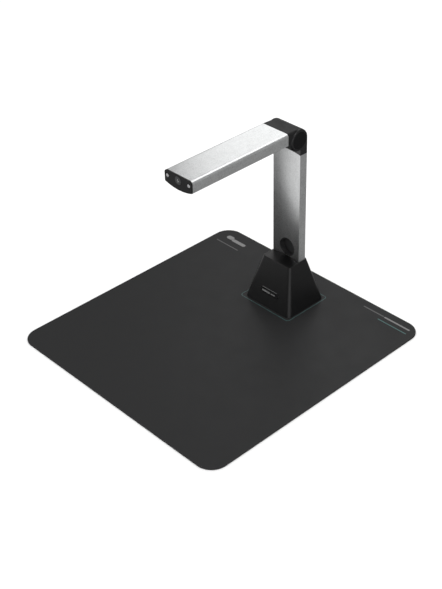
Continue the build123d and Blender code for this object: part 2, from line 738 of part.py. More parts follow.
with BuildPart() as arm_hinge_screws:
    with Locations(*[facing_down(x, y, arm_underside(x) + 0.15) for x, y in BLOCK_SCREW_POINTS]):
        add(flat_screw(1.1, 7.0, 2.3))
write(arm_hinge_screws.part, "arm_hinge_screws")

# ---- Arm: end cap, its screws and the light button ---------------------------------------------------

BUTTON_PROUD = 0.2
BUTTON_FLANGE = 6.3
BUTTON_GROOVE = 3.6
BUTTON_LENGTH = 4.4
TONGUE_SPAN = (7.5, 14.0)
TONGUE_LENGTH = 5.0
TONGUE_LOW = 268.8
SCREW_SEAT = 1.0
CAP_SCREW_RADIUS = 2.3
CAP_SCREW_HEAD = 1.3

with BuildPart() as end_cap:
    with BuildSketch(across(ARM_FREE_END)):
        add(arm_section())
    extrude(amount=END_CAP_THICKNESS)
    fillet(end_cap.faces().sort_by(Axis.Y)[0].edges(), 0.25)
    # Tongues under the arm's top wall, one each side of the button
    for x0, x1 in (TONGUE_SPAN, (-TONGUE_SPAN[1], -TONGUE_SPAN[0])):
        bar_between(x0, x1, ARM_FREE_END, ARM_FREE_END + TONGUE_LENGTH, TONGUE_LOW, ARM_TOP - WALL - GAP)
    with BuildSketch(across(ARM_FREE_END)):
        with Locations((0, BUTTON_Z)):
            Circle(BUTTON_RADIUS + MOVING_GAP)
        with Locations((-CAP_SCREW_X, CAP_SCREW_Z), (CAP_SCREW_X, CAP_SCREW_Z)):
            Circle(1.4)
    extrude(amount=END_CAP_THICKNESS + 1.0, mode=Mode.SUBTRACT)
    with BuildSketch(across(END_CAP_FACE + SCREW_SEAT)):
        with Locations((-CAP_SCREW_X, CAP_SCREW_Z), (CAP_SCREW_X, CAP_SCREW_Z)):
            Circle(CAP_SCREW_RADIUS + 0.15)
    extrude(amount=SCREW_SEAT + 1.0, mode=Mode.SUBTRACT)
write(end_cap.part, "end_cap")

with BuildPart() as end_cap_screws:
    for x in (-CAP_SCREW_X, CAP_SCREW_X):
        top = END_CAP_FACE + SCREW_SEAT - CAP_SCREW_HEAD
        with Locations(Plane(origin=(x, top, CAP_SCREW_Z), x_dir=(1, 0, 0), z_dir=(0, -1, 0))):
            add(pan_screw(1.15, 9.0, CAP_SCREW_RADIUS, CAP_SCREW_HEAD))
write(end_cap_screws.part, "end_cap_screws")

with BuildPart() as light_button:
    with BuildSketch(across(ARM_FREE_END + GAP)):
        with Locations((0, BUTTON_Z)):
            Circle(BUTTON_RADIUS)
    extrude(amount=END_CAP_THICKNESS + GAP + BUTTON_PROUD)
    fillet(light_button.edges().sort_by(Axis.Y)[0], 0.3)
    # Ring-shaped groove in its face
    with BuildSketch(across(END_CAP_FACE - BUTTON_PROUD + 0.3)):
        with Locations((0, BUTTON_Z)):
            Circle(BUTTON_GROOVE)
            Circle(BUTTON_GROOVE - 0.5, mode=Mode.SUBTRACT)
    extrude(amount=1.0, mode=Mode.SUBTRACT)
    with BuildSketch(across(ARM_FREE_END + GAP + 1.0)):
        with Locations((0, BUTTON_Z)):
            Circle(BUTTON_FLANGE)
            Rectangle(20.0, 7.2, mode=Mode.INTERSECT)
    extrude(amount=1.0)
    with BuildSketch(across(END_CAP_FACE - BUTTON_PROUD + BUTTON_LENGTH)):
        with Locations((0, BUTTON_Z)):
            Circle(1.6)
    extrude(amount=2.0)
write(light_button.part, "light_button")

SWITCH_FRONT = END_CAP_FACE - BUTTON_PROUD + BUTTON_LENGTH + BUTTON_TRAVEL + 0.05
SWITCH_BODY_FRONT = SWITCH_FRONT + 1.2
SWITCH_BODY_BACK = SWITCH_BODY_FRONT + 3.0
SWITCH_BOARD_BACK = SWITCH_BODY_BACK + 1.0

with BuildPart() as light_switch:
    bar_between(-3.0, 3.0, SWITCH_BODY_FRONT, SWITCH_BODY_BACK, BUTTON_Z - 3.0, BUTTON_Z + 3.0)
    chamfer(light_switch.edges().filter_by(Axis.Y), 0.4)
    with BuildSketch(across(SWITCH_BODY_FRONT)):
        with Locations((0, BUTTON_Z)):
            Circle(1.7)
    extrude(amount=SWITCH_BODY_FRONT - SWITCH_FRONT)
write(light_switch.part, "light_switch")

with BuildPart() as switch_board:
    bar_between(-10.0, 10.0, SWITCH_BODY_BACK, SWITCH_BOARD_BACK, 260.6, 267.8)
    chamfer(switch_board.edges().filter_by(Axis.Y), 0.5)
write(switch_board.part, "switch_board")

# ---- Arm: camera module --------------------------------------------------------------------------------

FLANGE_LOW = 254.6
FLANGE_HIGH = 256.0
MOUNT_HIGH = 259.0
SENSOR_LOW = 258.2
CAMERA_BOARD_HIGH = 260.0
BARREL_LOW = 250.2
BARREL_HIGH = 257.6
LENS_BARREL_RADIUS = 6.0

with BuildPart() as lens_housing:
    with BuildSketch(Plane.XY.offset(LENS_LOW)):
        with Locations((0, LENS_Y)):
            Circle(LENS_HOUSING_RADIUS)
    extrude(amount=FLANGE_LOW - LENS_LOW)
    fillet(lens_housing.edges().group_by(Axis.Z)[0], 0.9)
    bar_between(-13.0, 13.0, ARM_FREE_END + 0.4, LENS_Y + 10.6, FLANGE_LOW, FLANGE_HIGH)
    with BuildSketch(Plane.XY.offset(LENS_LOW - 1.0)):
        with Locations((0, LENS_Y)):
            Circle(LENS_BARREL_RADIUS + GAP)
    extrude(amount=20.0, mode=Mode.SUBTRACT)
    # Cone that widens towards the paper
    with Locations((0, LENS_Y, LENS_LOW + 0.9)):
        Cone(8.4, LENS_BARREL_RADIUS + GAP, 1.9, mode=Mode.SUBTRACT)
write(lens_housing.part, "lens_housing")

with BuildPart() as lens_barrel:
    with BuildSketch(Plane.XY.offset(BARREL_LOW)):
        with Locations((0, LENS_Y)):
            Circle(LENS_BARREL_RADIUS)
    extrude(amount=BARREL_HIGH - BARREL_LOW)
    with BuildSketch(Plane.XY.offset(BARREL_LOW)):
        with Locations((0, LENS_Y)):
            Circle(4.6)
    extrude(amount=2.6, mode=Mode.SUBTRACT)
    with BuildSketch(Plane.XY.offset(BARREL_LOW)):
        with Locations((0, LENS_Y)):
            Circle(2.4)
    extrude(amount=12.0, mode=Mode.SUBTRACT)
    chamfer(lens_barrel.edges().group_by(Axis.Z)[0].sort_by(SortBy.RADIUS)[0], 0.6)
write(lens_barrel.part, "lens_barrel")

GLASS_LOW = BARREL_LOW + 0.8
GLASS_BOW = 7.0
with BuildPart() as lens_glass:
    with BuildSketch(Plane.XY.offset(GLASS_LOW)):
        with Locations((0, LENS_Y)):
            Circle(4.5)
    extrude(amount=1.8)
    with Locations((0, LENS_Y, GLASS_LOW + GLASS_BOW)):
        Sphere(GLASS_BOW, mode=Mode.INTERSECT)
write(lens_glass.part, "lens_glass")

with BuildPart() as lens_mount:
    bar_between(-8.0, 8.0, LENS_Y - 8.0, LENS_Y + 8.0, FLANGE_HIGH, MOUNT_HIGH)
    chamfer(lens_mount.edges().filter_by(Axis.Z), 1.5)
    with BuildSketch(Plane.XY.offset(FLANGE_HIGH)):
        with Locations((0, LENS_Y)):
            Circle(LENS_BARREL_RADIUS + GAP)
    extrude(amount=4.0, mode=Mode.SUBTRACT)
write(lens_mount.part, "lens_mount")

with BuildPart() as image_sensor:
    bar_between(-3.5, 3.5, LENS_Y - 3.5, LENS_Y + 3.5, SENSOR_LOW, MOUNT_HIGH)
write(image_sensor.part, "image_sensor")

with BuildPart() as camera_board:
    bar_between(-13.0, 13.0, LENS_Y - 9.2, LENS_Y + 10.6, MOUNT_HIGH, CAMERA_BOARD_HIGH)
    chamfer(camera_board.edges().filter_by(Axis.Z), 1.0)
write(camera_board.part, "camera_board")

# ---- Arm: reading light ----------------------------------------------------------------------------------

LED_BOARD_LOW = 256.3
LED_BOARD_HIGH = 257.3
LED_HEIGHT = 0.8
LED_PITCH = 5.0
LED_COUNT = 6
WINDOW_MID = (WINDOW_FRONT + WINDOW_BACK) / 2

with BuildPart() as led_window:
    # Pane flush with the arm's underside
    with BuildSketch(across(WINDOW_BACK - GAP)):
        add(arm_section())
        add(arm_section(WALL), mode=Mode.SUBTRACT)
        with Locations((0, ARM_UNDER - 5.0)):
            Rectangle(2 * (WINDOW_HALF - GAP), 14.0, mode=Mode.INTERSECT)
    extrude(amount=WINDOW_BACK - WINDOW_FRONT - 2 * GAP)
    fillet(led_window.edges().filter_by(Axis.Z), 1.9)
    # Ribs that carry the light's board
    for side in (-1, 1):
        rib = side * 14.0
        bar_between(rib - 0.8, rib + 0.8, WINDOW_FRONT + 2.0, WINDOW_BACK - 2.0, 253.6, LED_BOARD_LOW)
write(led_window.part, "led_window")

with BuildPart() as led_board:
    bar_between(-16.5, 16.5, WINDOW_FRONT, WINDOW_BACK, LED_BOARD_LOW, LED_BOARD_HIGH)
    chamfer(led_board.edges().filter_by(Axis.Z), 0.8)
write(led_board.part, "led_board")

with BuildPart() as leds:
    with Locations((0, WINDOW_MID, LED_BOARD_LOW - LED_HEIGHT / 2)):
        with GridLocations(LED_PITCH * 0.9, 1, LED_COUNT, 1):
            Box(2.8, 3.5, LED_HEIGHT)
    chamfer(leds.faces().group_by(Axis.Z)[0].edges(), 0.2)
write(leds.part, "leds")

# ---- Arm: main board ---------------------------------------------------------------------------------------

MAIN_HALF = 14.5
MAIN_FRONT = -10.0
MAIN_BACK = 84.0
MAIN_LOW = 259.0
MAIN_HIGH = 260.2
POST_POINTS = [(x, y) for x in (-11.5, 11.5) for y in (-6.0, 78.0)]
RIBBON_LOW = 261.2
RIBBON_HIGH = 261.6

with BuildPart() as board_posts:
    with BuildSketch(Plane.XY.offset(arm_underside(9.0, WALL))):
        with Locations(*POST_POINTS):
            Circle(2.5)
    extrude(amount=MAIN_LOW - arm_underside(9.0, WALL))
    with BuildSketch(Plane.XY.offset(MAIN_LOW)):
        with Locations(*POST_POINTS):
            Circle(1.1)
    extrude(amount=-4.0, mode=Mode.SUBTRACT)
    # Their feet follow the arm's curved floor
    with BuildSketch(across(MAIN_BACK)):
        with Locations((0, ARM_BOW_Z)):
            Circle(ARM_BOW_RADIUS)
            Circle(ARM_BOW_RADIUS - WALL, mode=Mode.SUBTRACT)
    extrude(amount=MAIN_BACK - MAIN_FRONT, mode=Mode.SUBTRACT)
write(board_posts.part, "board_posts")

with BuildPart() as main_board:
    bar_between(-MAIN_HALF, MAIN_HALF, MAIN_FRONT, MAIN_BACK, MAIN_LOW, MAIN_HIGH)
    chamfer(main_board.edges().filter_by(Axis.Z), 1.0)
    with BuildSketch(Plane.XY.offset(MAIN_LOW)):
        with Locations(*POST_POINTS):
            Circle(1.2)
    extrude(amount=4.0, mode=Mode.SUBTRACT)
write(main_board.part, "main_board")

with BuildPart() as board_screws:
    with Locations(*[(x, y, MAIN_HIGH + 1.2) for x, y in POST_POINTS]):
        add(pan_screw(1.0, 5.0, 1.9, 1.2))
write(board_screws.part, "board_screws")

with BuildPart() as main_chips:
    bar_between(-6.0, 6.0, 22.0, 34.0, MAIN_HIGH, MAIN_HIGH + 1.2)
    bar_between(-5.0, 4.0, 44.0, 57.0, MAIN_HIGH, MAIN_HIGH + 1.0)
    bar_between(-4.0, 2.0, 6.0, 12.0, MAIN_HIGH, MAIN_HIGH + 0.9)
    chamfer(main_chips.faces().filter_by(Axis.Z).edges().group_by(Axis.Z)[-1], 0.2)
write(main_chips.part, "main_chips")

with BuildPart() as board_connectors:
    bar_between(-5.5, 5.5, MAIN_FRONT + 0.5, MAIN_FRONT + 5.5, MAIN_HIGH, MAIN_HIGH + 2.2)
    bar_between(-5.5, 5.5, MAIN_BACK - 6.0, MAIN_BACK - 1.0, MAIN_HIGH, MAIN_HIGH + 2.2)
    chamfer(board_connectors.edges().filter_by(Axis.Z), 0.3)
    with BuildSketch(across(MAIN_BACK)):
        with Locations((0, (RIBBON_LOW + RIBBON_HIGH) / 2)):
            Rectangle(8.2, 0.6)
    extrude(amount=5.0, mode=Mode.SUBTRACT)
write(board_connectors.part, "board_connectors")

with BuildPart() as arm_cable:
    bar_between(-4.0, 4.0, MAIN_BACK - 4.0, AXIS_Y - 7.0, RIBBON_LOW, RIBBON_HIGH)
write(arm_cable.part, "arm_cable")
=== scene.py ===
import json
import math

import bmesh
import bpy
from mathutils import Matrix, Vector


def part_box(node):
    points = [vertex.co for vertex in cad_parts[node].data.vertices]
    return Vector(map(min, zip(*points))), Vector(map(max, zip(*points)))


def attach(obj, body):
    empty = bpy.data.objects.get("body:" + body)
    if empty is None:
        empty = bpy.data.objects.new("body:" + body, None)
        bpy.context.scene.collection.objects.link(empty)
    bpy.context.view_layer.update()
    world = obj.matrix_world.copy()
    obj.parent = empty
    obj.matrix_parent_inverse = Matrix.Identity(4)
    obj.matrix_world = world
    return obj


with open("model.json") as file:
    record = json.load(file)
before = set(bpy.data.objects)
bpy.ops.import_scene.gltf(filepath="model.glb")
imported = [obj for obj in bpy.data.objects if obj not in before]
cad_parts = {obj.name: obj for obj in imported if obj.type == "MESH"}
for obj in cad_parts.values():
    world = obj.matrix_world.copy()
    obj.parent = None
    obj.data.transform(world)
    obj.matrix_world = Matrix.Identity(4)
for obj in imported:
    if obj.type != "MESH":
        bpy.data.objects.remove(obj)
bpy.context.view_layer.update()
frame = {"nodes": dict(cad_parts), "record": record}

MM = 0.001
NODES = frame["nodes"]


# ---- Camera ------------------------------------------------------------------------------------

CAMERA_AZIMUTH = math.radians(47.33)
CAMERA_ELEVATION = math.radians(35.33)
CAMERA_ROLL = math.radians(-1.684)
CAMERA_PLACE = (0.94558, -0.86981, 0.97707)
CAMERA_LENS = 73.2
CAMERA_SENSOR = 36.0


def make_camera():
    """A short telephoto lens, seen from the front right and above."""
    data = bpy.data.cameras.new("camera")
    data.lens = CAMERA_LENS
    data.sensor_width = CAMERA_SENSOR
    data.clip_start = 0.05
    data.clip_end = 50.0
    back = Vector((
        math.sin(CAMERA_AZIMUTH) * math.cos(CAMERA_ELEVATION),
        -math.cos(CAMERA_AZIMUTH) * math.cos(CAMERA_ELEVATION),
        math.sin(CAMERA_ELEVATION),
    ))
    level_right = (-back).cross(Vector((0, 0, 1))).normalized()
    level_up = level_right.cross(-back)
    turn_cos, turn_sin = math.cos(CAMERA_ROLL), math.sin(CAMERA_ROLL)
    right = turn_cos * level_right + turn_sin * level_up
    up = turn_cos * level_up - turn_sin * level_right
    camera = bpy.data.objects.new("camera", data)
    camera.matrix_world = Matrix.Translation(CAMERA_PLACE) @ Matrix((right, up, back)).transposed().to_4x4()
    bpy.context.scene.collection.objects.link(camera)
    bpy.context.scene.camera = camera


# ---- Node materials ----------------------------------------------------------------------------

class Surface:
    """A node material. Its patterns are laid out in metres, in the part's own frame."""

    def __init__(self, name, colour, **sockets):
        self.material = bpy.data.materials.new(name)
        self.material.use_nodes = True
        self.tree = self.material.node_tree
        self.shader = self.tree.nodes["Principled BSDF"]
        self.place = self.tree.nodes.new("ShaderNodeTexCoord").outputs["Object"]
        self.colour = colour
        self.set("Base Color", (*colour, 1.0))
        for socket, value in sockets.items():
            self.set(socket.replace("_", " "), value)

    def set(self, socket, value):
        self.shader.inputs[socket].default_value = value

    def link(self, output, target):
        self.tree.links.new(output, target)

    def wire(self, output, socket):
        self.link(output, self.shader.inputs[socket])

    def noise(self, size, stretch=(1, 1, 1), detail=3.0, roughness=0.55):
        """Noise whose lumps are about size metres across, drawn out by stretch."""
        mapping = self.tree.nodes.new("ShaderNodeMapping")
        mapping.inputs["Scale"].default_value = [1.0 / (size * s) for s in stretch]
        self.link(self.place, mapping.inputs["Vector"])
        noise = self.tree.nodes.new("ShaderNodeTexNoise")
        noise.inputs["Scale"].default_value = 1.0
        noise.inputs["Detail"].default_value = detail
        noise.inputs["Roughness"].default_value = roughness
        self.link(mapping.outputs["Vector"], noise.inputs["Vector"])
        return noise.outputs["Fac"]

    def cells(self, size, feature="F1"):
        """Distance inside a pattern of cells about size metres across."""
        cells = self.tree.nodes.new("ShaderNodeTexVoronoi")
        cells.feature = feature
        cells.inputs["Scale"].default_value = 1.0 / size
        self.link(self.place, cells.inputs["Vector"])
        return cells.outputs["Distance"]

    def levels(self, value, low, high, start=0.3, end=0.7):
        """value, spread from start..end to low..high."""
        levels = self.tree.nodes.new("ShaderNodeMapRange")
        for socket, number in (("From Min", start), ("From Max", end), ("To Min", low), ("To Max", high)):
            levels.inputs[socket].default_value = number
        self.link(value, levels.inputs["Value"])
        return levels.outputs["Result"]

    def blend(self, factor, first, second):
        """A colour between two; each is a colour or another node's output."""
        mix = self.tree.nodes.new("ShaderNodeMix")
        mix.data_type = "RGBA"
        self.link(factor, mix.inputs["Factor"])
        for socket, value in (("A", first), ("B", second)):
            target = next(s for s in mix.inputs if s.name == socket and s.type == "RGBA")
            if isinstance(value, bpy.types.NodeSocket):
                self.link(value, target)
            else:
                target.default_value = (*value, 1.0)
        return next(s for s in mix.outputs if s.type == "RGBA")

    def total(self, first, second, share=0.5):
        """first plus share of second."""
        add = self.tree.nodes.new("ShaderNodeMath")
        add.operation = "MULTIPLY_ADD"
        self.link(second, add.inputs[0])
        add.inputs[1].default_value = share
        self.link(first, add.inputs[2])
        return add.outputs[0]

    def shade(self, value, dark, light):
        """The base colour runs from dark to light shares of itself with value."""
        tint = self.blend(
            self.levels(value, 0.0, 1.0),
            [c * dark for c in self.colour],
            [c * light for c in self.colour],
        )
        self.wire(tint, "Base Color")

    def rough(self, value, low, high):
        self.wire(self.levels(value, low, high), "Roughness")

    def bump(self, height, depth):
        """Relief depth metres deep."""
        bump = self.tree.nodes.new("ShaderNodeBump")
        bump.inputs["Strength"].default_value = 1.0
        bump.inputs["Distance"].default_value = depth
        self.link(height, bump.inputs["Height"])
        self.wire(bump.outputs["Normal"], "Normal")


def aluminium(name, along):
    """Fine blasted and anodised extrusion, with faint die lines along it."""
    skin = Surface(name, (0.555, 0.562, 0.563), Metallic=1.0)
    grain = skin.noise(0.45 * MM, detail=4.0)
    sparkle = skin.noise(1.9 * MM, detail=3.0, roughness=0.7)
    lines = skin.noise(0.9 * MM, stretch=[60 if axis == along else 1 for axis in "xyz"], detail=2.0)
    clouds = skin.noise(9 * MM, detail=3.0)
    mottle = skin.total(skin.total(sparkle, clouds, 0.35), lines, 0.3)
    skin.wire(
        skin.blend(
            skin.levels(mottle, 0.0, 1.0, 0.65, 1.0),
            [c * 0.88 for c in skin.colour],
            [c * 1.1 for c in skin.colour],
        ),
        "Base Color",
    )
    skin.rough(skin.total(grain, sparkle, 0.5), 0.22, 0.3)
    skin.bump(skin.total(grain, sparkle, 1.5), 0.02 * MM)
    return skin.material


def moulded(name, colour, roughness, depth=0.012, specular=0.4):
    """Moulded plastic with a fine spark-eroded texture, depth millimetres deep."""
    skin = Surface(name, colour, Specular_IOR_Level=specular)
    texture = skin.noise(0.35 * MM, detail=2.0)
    clouds = skin.noise(11 * MM, detail=2.0)
    skin.shade(skin.total(texture, clouds, 0.5), 0.88, 1.12)
    skin.rough(clouds, roughness - 0.04, roughness + 0.04)
    skin.bump(texture, depth * MM)
    return skin.material


def polished(name, colour, roughness, specular=0.22):
    """Polished plastic: soft waviness from the mould and a breath of haze."""
    skin = Surface(name, colour, Specular_IOR_Level=specular)
    haze = skin.noise(6 * MM, detail=4.0)
    specks = skin.noise(0.5 * MM, detail=2.0)
    skin.shade(haze, 0.92, 1.08)
    skin.rough(skin.total(haze, specks, 0.3), roughness - 0.03, roughness + 0.05)
    skin.bump(skin.noise(3 * MM, detail=1.0), 0.004 * MM)
    return skin.material


def mat_film():
    """Satin printed film with a fine leather grain."""
    skin = Surface("mat_film", (0.0178, 0.0179, 0.0183), Specular_IOR_Level=0.13)
    grain = skin.cells(0.9 * MM)
    fine = skin.noise(0.3 * MM, detail=2.0)
    clouds = skin.noise(30 * MM, detail=3.0)
    skin.shade(skin.total(fine, clouds, 0.8), 0.9, 1.12)
    skin.rough(clouds, 0.4, 0.48)
    skin.bump(skin.total(grain, fine, 0.4), 0.02 * MM)
    return skin.material


def rubber(name, colour):
    """Foamed rubber: open pores and a dull surface."""
    skin = Surface(name, colour, Specular_IOR_Level=0.25)
    pores = skin.cells(0.7 * MM)
    dust = skin.noise(5 * MM, detail=4.0)
    skin.shade(dust, 0.85, 1.25)
    skin.rough(dust, 0.78, 0.92)
    skin.bump(pores, 0.06 * MM)
    return skin.material


def steel(name, colour, roughness):
    """Plated steel with fine turning marks."""
    skin = Surface(name, colour, Metallic=1.0)
    marks = skin.noise(0.25 * MM, detail=3.0)
    skin.shade(marks, 0.9, 1.06)
    skin.rough(marks, roughness - 0.05, roughness + 0.07)
    skin.bump(marks, 0.004 * MM)
    return skin.material


def cast_iron():
    """Rough casting with a dark, scaly skin."""
    skin = Surface("cast_iron", (0.16, 0.16, 0.165), Metallic=1.0)
    scale = skin.noise(2.5 * MM, detail=5.0)
    skin.shade(scale, 0.7, 1.2)
    skin.rough(scale, 0.55, 0.75)
    skin.bump(scale, 0.12 * MM)
    return skin.material


def circuit_board():
    """Green solder mask over copper tracks."""
    skin = Surface("circuit_board", (0.012, 0.075, 0.03), Specular_IOR_Level=0.5)
    tracks = skin.cells(2.2 * MM, "DISTANCE_TO_EDGE")
    on_track = skin.levels(tracks, 1.0, 0.0, 0.06, 0.09)
    skin.wire(skin.blend(on_track, skin.colour, (0.03, 0.15, 0.05)), "Base Color")
    skin.rough(skin.noise(4 * MM), 0.25, 0.38)
    skin.bump(on_track, 0.03 * MM)
    return skin.material


def cable_jacket(name, colour):
    """Cable jacket with a faint extruded sheen."""
    skin = Surface(name, colour, Specular_IOR_Level=0.4)
    ripples = skin.noise(1.2 * MM, stretch=(1, 1, 0.4), detail=2.0)
    skin.shade(ripples, 0.9, 1.15)
    skin.rough(ripples, 0.38, 0.5)
    skin.bump(ripples, 0.02 * MM)
    return skin.material


def coated_glass():
    """Lens glass with a violet-green coating."""
    skin = Surface("coated_glass", (0.05, 0.05, 0.07), IOR=1.6, Specular_IOR_Level=0.8)
    rim = skin.noise(3 * MM, detail=1.0)
    skin.wire(skin.blend(skin.levels(rim, 0, 1), (0.012, 0.02, 0.035), (0.035, 0.012, 0.045)), "Base Color")
    skin.rough(rim, 0.02, 0.05)
    skin.set("Coat Weight", 1.0)
    skin.set("Coat Roughness", 0.02)
    skin.set("Coat Tint", (0.75, 0.8, 1.0, 1.0))
    return skin.material


def milky(name, colour):
    """Milky diffuser."""
    skin = Surface(name, colour, Subsurface_Weight=0.25, Subsurface_Scale=0.002)
    frost = skin.noise(0.4 * MM, detail=2.0)
    skin.shade(skin.noise(8 * MM), 0.95, 1.0)
    skin.rough(frost, 0.32, 0.42)
    skin.bump(frost, 0.006 * MM)
    return skin.material


def silicon():
    """Image sensor: a dark die with an iridescent grid."""
    skin = Surface("silicon", (0.03, 0.035, 0.05), Metallic=0.6)
    grid = skin.noise(0.5 * MM, stretch=(1, 0.2, 1), detail=1.0)
    skin.wire(skin.blend(skin.levels(grid, 0, 1), (0.03, 0.05, 0.09), (0.07, 0.03, 0.08)), "Base Color")
    skin.rough(grid, 0.12, 0.2)
    return skin.material


def printed_ink(name, colour):
    """Screen-printed ink, thin and slightly uneven."""
    skin = Surface(name, colour, Specular_IOR_Level=0.3)
    cover = skin.noise(0.6 * MM, detail=3.0)
    skin.shade(cover, 0.8, 1.1)
    skin.rough(cover, 0.45, 0.6)
    skin.bump(cover, 0.004 * MM)
    return skin.material


# The finish of each material slot
SLOT_MATERIALS = {
    "mat_rubber": rubber("foam_rubber", (0.018, 0.018, 0.018)),
    "mat_surface": mat_film(),
    "gloss_black": polished("polished_black", (0.0048, 0.0048, 0.005), 0.3, specular=0.24),
    "label_black": polished("label_lacquer", (0.006, 0.006, 0.0062), 0.16),
    "matt_black": moulded("matt_black", (0.014, 0.014, 0.0143), 0.6, depth=0.02, specular=0.25),
    "satin_black": moulded("satin_black", (0.0065, 0.0065, 0.0068), 0.47, specular=0.13),
    "foot_rubber": rubber("foot_rubber", (0.022, 0.022, 0.022)),
    "ballast_steel": cast_iron(),
    "screw_steel": steel("screw_steel", (0.74, 0.74, 0.75), 0.34),
    "shaft_steel": steel("shaft_steel", (0.5, 0.5, 0.51), 0.22),
    "circuit_board": circuit_board(),
    "socket_metal": steel("socket_metal", (0.66, 0.66, 0.65), 0.3),
    "connector_white": moulded("connector_white", (0.72, 0.7, 0.64), 0.45),
    "bracket_alloy": steel("bracket_alloy", (0.45, 0.45, 0.46), 0.42),
    "cable_black": cable_jacket("cable_black", (0.015, 0.015, 0.015)),
    "cable_white": moulded("cable_white", (0.7, 0.69, 0.66), 0.5),
    "lens_glass": coated_glass(),
    "sensor": silicon(),
    "diffuser": milky("milky_white", (0.82, 0.82, 0.8)),
    "led_yellow": milky("led_yellow", (0.8, 0.62, 0.08)),
    "brass": steel("brass", (0.68, 0.5, 0.2), 0.3),
    "chip_black": moulded("chip_black", (0.016, 0.016, 0.017), 0.55),
    "washer_black": moulded("washer_black", (0.03, 0.03, 0.03), 0.5),
    "button_grey": moulded("button_grey", (0.03, 0.031, 0.031), 0.38),
}

# Pieces with a finish of their own; the pocket's black is lighter than matt black, painted light in its
# shaded hollow
NODE_MATERIALS = {
    "tower_tube": aluminium("tower_aluminium", "z"),
    "arm_tube": aluminium("arm_aluminium", "y"),
    "tower_cap": moulded("yoke_black", (0.0032, 0.0032, 0.0034), 0.3, specular=0.3),
    "hinge_covers": moulded("cover_black", (0.0035, 0.0035, 0.0037), 0.3, specular=0.08),
    # Lighter than matt black: painted light that lifts the shade inside the pocket
    "lens_pocket": moulded("pocket_painted_light_black", (0.019, 0.019, 0.0195), 0.4, depth=0.02, specular=0.55),
    "end_cap": moulded("cap_black", (0.0078, 0.0078, 0.008), 0.42, specular=0.13),
}


def paint_nodes():
    """Every piece from the CAD model takes its slot's finish, or one of its own."""
    for subpart in frame["record"]["subparts"]:
        node = subpart["node"]
        finish = NODE_MATERIALS.get(node) or SLOT_MATERIALS[subpart["material_slot"]]
        mesh = NODES[node].data
        mesh.materials.clear()
        mesh.materials.append(finish)


# ---- Mesh helpers ------------------------------------------------------------------------------

# Points along each round corner of an outline, less one
CORNER_STEPS = 8


def rounded_outline(width, depth, corner, centre=(0.0, 0.0)):
    """Points round a rectangle with round corners, anticlockwise."""
    points = []
    for quarter, (side_x, side_y) in enumerate(((1, 1), (-1, 1), (-1, -1), (1, -1))):
        middle = Vector((
            centre[0] + side_x * (width / 2 - corner),
            centre[1] + side_y * (depth / 2 - corner),
        ))
        for step in range(CORNER_STEPS + 1):
            angle = math.radians(90 * (quarter + step / CORNER_STEPS))
            points.append(middle + corner * Vector((math.cos(angle), math.sin(angle))))
    return points


def slab(name, outline, low, high, hole=None):
    """A flat plate between two heights, with a hole of as many points if one is given."""
    mesh = bpy.data.meshes.new(name)
    build = bmesh.new()

    def ring(points, height):
        return [build.verts.new((x, y, height)) for x, y in points]

    def wall(first, second):
        count = len(first)
        for i in range(count):
            j = (i + 1) % count
            build.faces.new((first[i], first[j], second[j], second[i]))

    outer_low, outer_high = ring(outline, low), ring(outline, high)
    wall(outer_low, outer_high)
    if hole is None:
        build.faces.new(outer_high)
        build.faces.new(list(reversed(outer_low)))
    else:
        inner_low, inner_high = ring(hole, low), ring(hole, high)
        wall(outer_high, inner_high)
        wall(inner_high, inner_low)
        wall(inner_low, outer_low)
    bmesh.ops.recalc_face_normals(build, faces=build.faces)
    build.to_mesh(mesh)
    build.free()
    return bpy.data.objects.new(name, mesh)


def add_piece(piece, body, finish):
    """Puts a new piece in the scene, on its body, with its finish."""
    bpy.context.scene.collection.objects.link(piece)
    piece.data.materials.append(finish)
    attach(piece, body)


# ---- Printing on the mat -----------------------------------------------------------------------

INK_HEIGHT = 0.04 * MM
# The corner of a round end, as a share of the bar's height: just under half, so no two points meet
ROUND_END = 0.49

INK_GREY = printed_ink("ink_grey", (0.19, 0.19, 0.19))
INK_DIM = printed_ink("ink_dim", (0.09, 0.09, 0.09))
INK_TEAL = printed_ink("ink_teal", (0.055, 0.13, 0.125))
INK_LINE = printed_ink("ink_line", (0.075, 0.16, 0.155))
INK_LABEL = printed_ink("ink_label", (0.15, 0.15, 0.15))
INK_BUTTON = printed_ink("ink_button", (0.6, 0.6, 0.6))

# The outline that shows where the stand goes; the stand stands a little right of its middle
OUTLINE_MARGIN = 4.0 * MM
OUTLINE_LINE = 0.55 * MM
OUTLINE_CORNER = 4.5 * MM
OUTLINE_MIDDLE = -1.2 * MM

# Plain bars in place of the printing in the mat's two back corners, in millimetres: how far each one's
# middle is in from the side edge and from the back edge, its length and its height
LEFT_BARS = (
    ("corner_bar_long", 35.0, 37.0, 45.0, 1.6, INK_DIM),
    ("corner_bar_thick", 44.0, 22.0, 27.0, 6.0, INK_GREY),
    ("corner_dot", 25.0, 20.0, 13.0, 8.0, INK_GREY),
)
RIGHT_BARS = (
    ("edge_bar_dim", 75.5, 13.0, 36.0, 2.0, INK_DIM),
    ("edge_bar_grey", 34.5, 13.2, 44.0, 2.6, INK_GREY),
    ("edge_bar_teal", 36.0, 22.4, 49.0, 1.5, INK_TEAL),
)


def print_stand_outline(surface_height):
    """A thin line on the mat, round the foot of the base."""
    low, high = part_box("base_housing")
    width = high.x - low.x + 2 * OUTLINE_MARGIN
    depth = high.y - low.y + 2 * OUTLINE_MARGIN
    centre = (OUTLINE_MIDDLE, (low.y + high.y) / 2)
    outer = rounded_outline(width, depth, OUTLINE_CORNER, centre)
    inner = rounded_outline(
        width - 2 * OUTLINE_LINE, depth - 2 * OUTLINE_LINE, OUTLINE_CORNER - OUTLINE_LINE, centre,
    )
    ring = slab("stand_outline", outer, surface_height, surface_height + INK_HEIGHT, inner)
    add_piece(ring, "mat", INK_LINE)


